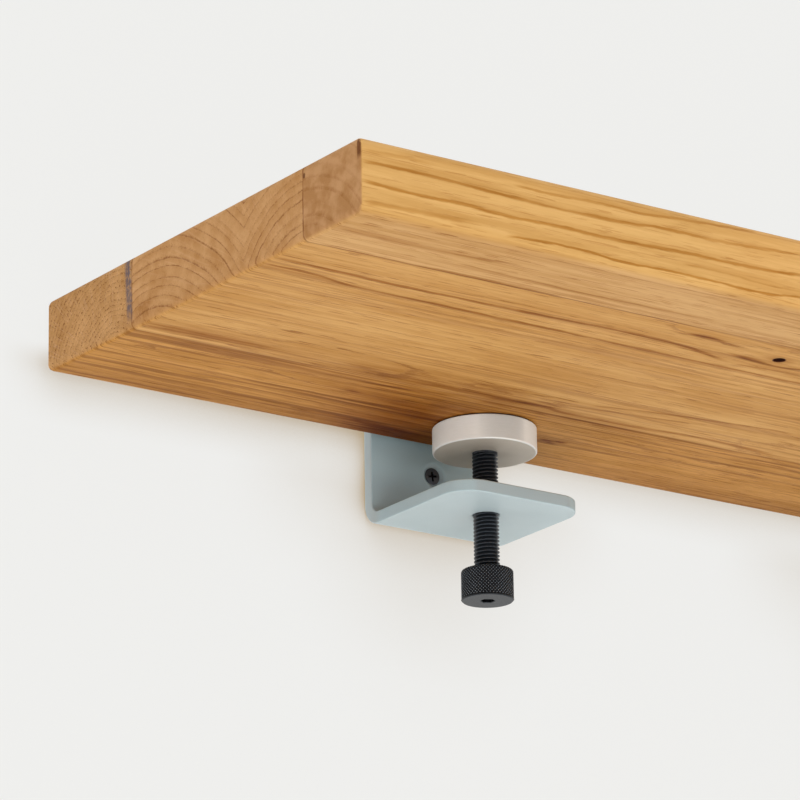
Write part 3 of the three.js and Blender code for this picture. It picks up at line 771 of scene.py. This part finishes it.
def groove():  # heights of the groove that holds the retaining ring
    return screw["ringMiddle"] - screw["grooveHalf"], screw["ringMiddle"] + screw["grooveHalf"]


def clampScrew(side, middle):
    s, (grooveLow, grooveHigh) = screw, groove()
    tip, journal, neck, soft = s["tip"], s["radius"] - s["play"], s["neck"], s["rounding"]
    top = turned([
        (0, s["threadTop"], 0), (journal, s["threadTop"], 0), (journal, grooveLow, soft), (neck, grooveLow, soft),
        (neck, grooveHigh, soft), (journal, grooveHigh, soft), (journal, tip - s["chamfer"], soft),
        (s["radius"] - s["chamfer"], tip, soft), (0, tip, 0)], (middle, screwY, 0), s["steps"])
    whole = merge(threaded(s, (middle, screwY, 0)), top)
    fit(toMetres(whole), side, "ClampScrew", "spindle", "thread", smoothUnder=50, weighted=False)


def knurledKnob(side, middle):
    k = knob
    wallLow, wallHigh = k["bottom"] + k["edge"], k["top"] - k["shoulder"]
    levels = round((wallHigh - wallLow) / k["diamondHeight"] * k["fineness"])
    wall = [(k["radius"], wallLow + (wallHigh - wallLow) * i / levels, 0) for i in range(levels + 1)]
    shoulder = []
    for i in range(1, k["shoulderSteps"] + 1):
        angle = math.pi / 2 * i / k["shoulderSteps"]
        inward, up = k["shoulder"] * (1 - math.cos(angle)), k["shoulder"] * math.sin(angle)
        shoulder.append((k["radius"] - inward, wallHigh + up, 0))
    socket, socketTop = k["socket"], k["bottom"] + k["socketDepth"]
    bore, boreTop = k["bore"], k["top"] - k["boreDepth"]
    outline = [
        (0, socketTop, 0), (socket, socketTop, 0), (socket, k["bottom"] + k["socketEdge"], 0),
        (socket + k["socketEdge"], k["bottom"], 0), (k["radius"] - k["edge"], k["bottom"], 0), *wall, *shoulder,
        (k["radius"] - k["shoulder"] - k["rimInside"], k["top"], 0), (bore + k["boreEdge"], k["top"], 0),
        (bore, k["top"] - k["boreEdge"], 0), (bore, boreTop, 0), (0, boreTop, 0)]
    bm = turned(outline, (0, 0, 0), k["diamonds"] * k["fineness"])
    crest = bm.verts.layers.float.new("ridge")
    inner = k["radius"] - k["shoulder"] - k["knurlInside"]
    for v in bm.verts:
        radius, angle = math.hypot(v.co.x, v.co.y), math.atan2(v.co.y, v.co.x)
        if 0.1 < radius < socket + k["socketEdge"] + 0.05 and v.co.z < socketTop + 0.01:
            inHexagon = (angle + math.pi / 6) % (math.pi / 3) - math.pi / 6
            v.co.xy *= 1 / math.cos(inHexagon)
        elif radius > inner and v.co.z > wallLow - 0.01:
            up = (v.co.z - wallLow + (k["radius"] - radius) * k["knurlOver"]) / k["diamondHeight"]
            around = angle / (2 * math.pi) * k["diamonds"]
            ridge = min(1 - 2 * abs((around + up) % 1 - 0.5), 1 - 2 * abs((around - up) % 1 - 0.5))
            fade = min(1.0, (radius - inner) / k["fadeTop"]) * min(1.0, (v.co.z - wallLow) / k["fadeFoot"])
            v[crest] = ridge * fade
            v.co.xy *= 1 - k["knurlDepth"] * (1 - ridge) * fade / radius
    move(bm, (middle, screwY, 0))
    fit(toMetres(bm), side, "Knob", "spindle", "knob", smoothUnder=30, weighted=False)


def turnedPad(side, middle):
    p, (grooveLow, grooveHigh) = pad, groove()
    bm = turned([
        (0, p["ceiling"], 0), (p["pocket"], p["ceiling"], 0), (p["pocket"], grooveHigh, 0),
        (p["groove"], grooveHigh, 0), (p["groove"], grooveLow, 0), (p["mouth"], grooveLow, 0),
        (p["mouth"], p["bottom"], p["smallEdge"]), (p["radius"], p["bottom"], p["edge"]),
        (p["radius"], p["top"], p["edge"]), (0, p["top"], 0)], (middle, screwY, 0), p["steps"])
    fit(toMetres(bm), side, "Pad", "presser", "nickel")


def padLiner(side, middle):
    p = pad
    rim, soft, low, high = p["linerRadius"], p["smallEdge"], p["top"], p["top"] + p["liner"]
    bm = turned([(0, low, 0), (rim, low, soft), (rim, high, soft), (0, high, 0)], (middle, screwY, 0), p["steps"])
    fit(toMetres(bm), side, "PadLiner", "presser", "rubber")


def retainingRing(side, middle):
    r = ring
    half = r["thickness"] / 2
    bm = bmesh.new()
    opening = 2 * math.asin(r["gap"] / 2 / r["inner"])
    corners = ((r["inner"], -half), (r["outer"], -half), (r["outer"], half), (r["inner"], half))
    loop = [bm.verts.new((radius, 0, height)) for radius, height in corners]
    bm.faces.new(loop)
    turn(bm, opening / 2, "Z")
    wind(bm, 2 * math.pi - opening, r["steps"])
    move(bm, (middle, screwY, screw["ringMiddle"]))
    fit(toMetres(bm), side, "RetainingRing", "presser", "spring")


# liner under the upper tongue, wall screws

topLiner = {
    "halfWidth": 28, "front": -62.5, "rear": -11.8, "bottom": 28.5, "top": 30.0, "corner": 10, "cornerSegments": 10,
    "edge": 0.2, "edgeSegments": 2,
}
wallScrew = {
    "face": -3.8, "head": 3.4, "rim": 0.2, "shank": 2.0, "root": 1.35, "pitch": 1.8, "tip": 36.2, "point": 4.0,
    "crossArm": 0.95, "crossLength": 4.3, "crossDepth": 1.6, "crossTurn": -0.15, "crossTaper": (0.85, 0.9),
    "headSteps": 64, "plainLength": 9, "coreStart": 0.6, "threadStart": 1.2, "threadHalf": 0.28, "threadSteps": 20,
    "threadSunk": 0.05, "threadShort": 0.02,  # its foot lies in the core, its crest inside the shank's radius
}


def topLinerSheet(side, middle):
    t = topLiner
    bm = bmesh.new()
    bmesh.ops.create_grid(bm, x_segments=1, y_segments=1, size=0.5)
    bmesh.ops.scale(bm, verts=bm.verts, vec=(2 * t["halfWidth"], t["rear"] - t["front"], 1))
    move(bm, (middle, (t["rear"] + t["front"]) / 2, t["bottom"]))
    bevel(bm, [v for v in bm.verts if v.co.y < t["front"] + 0.1], t["corner"], t["cornerSegments"])
    grown = bmesh.ops.extrude_face_region(bm, geom=bm.faces[:])
    bmesh.ops.translate(bm, verts=newVerts(grown), vec=(0, 0, t["top"] - t["bottom"]))
    sharp = [e for e in bm.edges if len(e.link_faces) == 2 and e.calc_face_angle() > 1.0]
    rims = [e for e in sharp if abs(e.verts[0].co.z - e.verts[1].co.z) < 0.01]
    bevel(bm, rims, t["edge"], t["edgeSegments"], "EDGES")
    fit(toMetres(bm), side, "TopLiner", "shelf", "rubber")


def countersunkScrew(side, middle, which, height):
    w = wallScrew
    coneStart, coneEnd = w["face"] + w["rim"], w["face"] + w["rim"] + w["head"] - w["shank"]
    plainEnd, pointStart = coneEnd + w["plainLength"], w["tip"] - w["point"]
    body = turned([
        (0, w["face"], 0), (w["head"], w["face"], 0.1), (w["head"], coneStart, 0.05), (w["shank"], coneEnd, 0.3),
        (w["shank"], plainEnd, 0.2), (w["root"], plainEnd + w["coreStart"], 0), (w["root"], pointStart, 0),
        (0, w["tip"], 0)], (0, 0, 0), w["headSteps"], "Y")
    cutters = []
    for quarter in (0.0, math.pi / 2):
        bm = bmesh.new()
        bmesh.ops.create_cube(bm, size=1.0)
        bmesh.ops.scale(bm, verts=bm.verts, vec=(w["crossLength"], w["crossDepth"] * 2, w["crossArm"]))
        for v in bm.verts:  # the recess narrows towards its bottom
            if v.co.y > 0:
                v.co.x *= w["crossTaper"][0]
                v.co.z *= w["crossTaper"][1]
        turn(bm, quarter + w["crossTurn"], "Y")
        move(bm, (0, w["face"], 0))
        cutters.append(toMetres(bm))
    body = carve(toMetres(body), cutters)
    thread = bmesh.new()  # a sharp ridge wound round the core
    foot, half, steps = w["root"] - w["threadSunk"], w["threadHalf"], w["threadSteps"]
    section = ((foot, -half), (w["shank"] - w["threadShort"], 0.0), (foot, half))
    chain = [thread.verts.new((r, 0, h)) for r, h in section]
    for pair in zip(chain, chain[1:] + chain[:1]):
        thread.edges.new(pair)
    thread.faces.new(chain)
    turns = int((pointStart - plainEnd - w["threadStart"]) / w["pitch"])
    wind(thread, 2 * math.pi * turns, steps * turns, w["pitch"] / steps)
    turn(thread, -math.pi / 2, "X")
    move(thread, (0, plainEnd + w["threadStart"], 0))
    body = merge(body, toMetres(thread))
    move(body, (middle * mm, 0, height * mm))
    fit(body, side, which + "WallScrew", "shelf", "head", smoothUnder=40, weighted=False)


for side, middle in sides.items():
    foldedBracket(side, middle)
    clampScrew(side, middle)
    knurledKnob(side, middle)
    turnedPad(side, middle)
    padLiner(side, middle)
    retainingRing(side, middle)
    topLinerSheet(side, middle)
    countersunkScrew(side, middle, "Upper", bracket["screwSpacing"] / 2)
    countersunkScrew(side, middle, "Lower", -bracket["screwSpacing"] / 2)
    print("hardware:", side, "bracket, screw, knob, pad, ring, liners and wall screws")


# wall, floor, lamps, camera

room = {
    "wallTone": (240, 240, 238), "shownTone": (239, 239, 237), "shadeTone": (176, 154, 119),
    "size": 12, "wallGap": 0.0002, "floorHeight": -0.75,
    "nearShade": 0.02, "nearSide": (0.0, -0.7, 0.7), "nearPower": 1.3,  # two soft contact shadows on the wall:
    "wideShade": 0.06, "wideSide": (0.85, -0.5, 0.1), "wideShare": 0.5,  # reach, direction and strength
    "nearFoot": (-36.0, -20.0, 0.3, 1.0), "nearTop": (16.0, 5.0),  # and the stretches where they fade, mm
    "nearLeft": (-260.0, -180.0, 1.1, 1.4), "nearRight": (-110.0, -70.0, 1.0, 0.62),
    "wideTop": (-4.0, -20.0), "wideBeside": (100.0, 50.0),
    "litShare": 0.04,  # share of what the camera sees of the wall that real light gives
    "skyLight": 1.0, "skyTone": (238, 238, 236),
    "reach": 0.012,  # closer to the wall than this, light also comes through it from behind
}


def seen(f):  # camera, mirror and glass rays
    rays = f.add("ShaderNodeLightPath", {}, {})
    mirrored = rays["Is Glossy Ray"].maths("MAXIMUM", rays["Is Transmission Ray"])
    return rays["Is Camera Ray"].maths("MAXIMUM", mirrored)


def enclosed(f, key):  # how closed in the wall is, in the reach and direction of this shadow
    sockets = {"Distance": room[key + "Shade"], "Normal": room[key + "Side"]}
    return 1.0 - f.add("ShaderNodeAmbientOcclusion", {"samples": 12}, sockets)["AO"]


def oneSided(name):
    # a stage surface that shows from its face only, so the part can be seen from behind and below
    f = Finish(name, {"Base Color": tone(*room["wallTone"]), "Roughness": 0.9, "Specular IOR Level": 0.0})
    behind = f.add("ShaderNodeNewGeometry", {}, {})["Backfacing"]
    rays = f.add("ShaderNodeLightPath", {}, {})
    touching = f.sum("LESS_THAN", rays["Ray Length"], room["reach"]) * (1.0 - rays["Is Camera Ray"])
    clear = f.add("ShaderNodeBsdfTransparent", {}, {})["BSDF"]
    x, y, z = f.place()
    near = enclosed(f, "near").maths("POWER", room["nearPower"]) * f.step(z, *room["nearFoot"])
    near = near * f.step(z, *room["nearTop"]) * f.step(x, *room["nearLeft"]) * f.step(x, *room["nearRight"])
    beside = f.step((x.maths("ABSOLUTE") - sides["right"]).maths("ABSOLUTE"), *room["wideBeside"])
    wide = enclosed(f, "wide") * f.step(z, *room["wideTop"]) * beside * room["wideShare"]
    plain = f.mix(near + wide, tone(*room["shownTone"]), tone(*room["shadeTone"]))
    glow = f.add("ShaderNodeEmission", {}, {"Color": plain, "Strength": 1.0})["Emission"]
    solid = Value(f, f.shader.outputs[0])
    shown = f.add("ShaderNodeMixShader", {}, {0: seen(f) * (1.0 - room["litShare"]), 1: solid, 2: glow})["Shader"]
    unseen = behind.maths("MAXIMUM", touching)
    f.fill(f.surface, f.add("ShaderNodeMixShader", {}, {0: unseen, 1: shown, 2: clear})["Shader"])
    return f


def stageSheet(name, finish, tilt, place):
    bm = bmesh.new()
    bmesh.ops.create_grid(bm, x_segments=1, y_segments=1, size=room["size"])
    turn(bm, tilt, "X")
    move(bm, place)
    sheet = toObject(bm, name)
    sheet.data.materials.append(finish.material)


stageSheet("wall", oneSided("wallPaint"), math.pi / 2, (0, room["wallGap"], 0))
stageSheet("floor", oneSided("floorPaint"), 0, (0, 0, room["floorHeight"]))


lampAim = Vector((-0.1, -0.1, 0))
lamps = {  # place, size and watts
    "keyLamp": ((1.0, -2.4, -0.4), 1.4, 4), "lowLamp": ((-0.3, -0.5, -0.7), 0.9, 2.8),
    "rearLamp": ((0.5, 2.4, 0.6), 1.6, 12),
}
for name, (place, size, watts) in lamps.items():
    lamp = bpy.data.lights.new(name, "AREA")
    lamp.shape, lamp.size, lamp.energy = "DISK", size, watts
    holder = bpy.data.objects.new(name, lamp)
    holder.location = place
    holder.rotation_mode = "QUATERNION"
    holder.rotation_quaternion = (lampAim - Vector(place)).to_track_quat("-Z", "Y")
    holder.visible_camera = False
    bpy.context.scene.collection.objects.link(holder)

world = bpy.data.worlds.new("sky")
bpy.context.scene.world = world
sky = Nodes(world)
light = sky.add("ShaderNodeBackground", {}, {"Color": (1, 1, 1, 1), "Strength": room["skyLight"]})["Background"]
backdrop = sky.add("ShaderNodeBackground", {}, {"Color": tone(*room["skyTone"]), "Strength": 1.0})["Background"]
both = sky.add("ShaderNodeMixShader", {}, {0: seen(sky), 1: light, 2: backdrop})["Shader"]
sky.add("ShaderNodeOutputWorld", {}, {"Surface": both})

view = {
    "place": (-1.22554, -1.55843, -0.59505), "azimuth": -35.048, "elevation": -17.917, "roll": -0.841,
    "lens": 228.682, "sensor": 36, "clip": (0.05, 50),
}
azimuth, elevation, roll = (math.radians(view[key]) for key in ("azimuth", "elevation", "roll"))
level = math.cos(elevation)
back = Vector((math.sin(azimuth) * level, -math.cos(azimuth) * level, math.sin(elevation)))
right = (-back).cross(Vector((0, 0, 1))).normalized()
upward = right.cross(-back)
rightRolled = math.cos(roll) * right + math.sin(roll) * upward
upRolled = -math.sin(roll) * right + math.cos(roll) * upward
eye = bpy.data.cameras.new("eye")
eye.lens, eye.sensor_width, (eye.clip_start, eye.clip_end) = view["lens"], view["sensor"], view["clip"]
camera = bpy.data.objects.new("eye", eye)
camera.matrix_world = Matrix.Translation(view["place"]) @ Matrix((rightRolled, upRolled, back)).transposed().to_4x4()
bpy.context.scene.collection.objects.link(camera)
bpy.context.scene.camera = camera
bpy.context.scene.view_settings.view_transform = "Standard"
print("stage: wall, floor, lamps and camera")
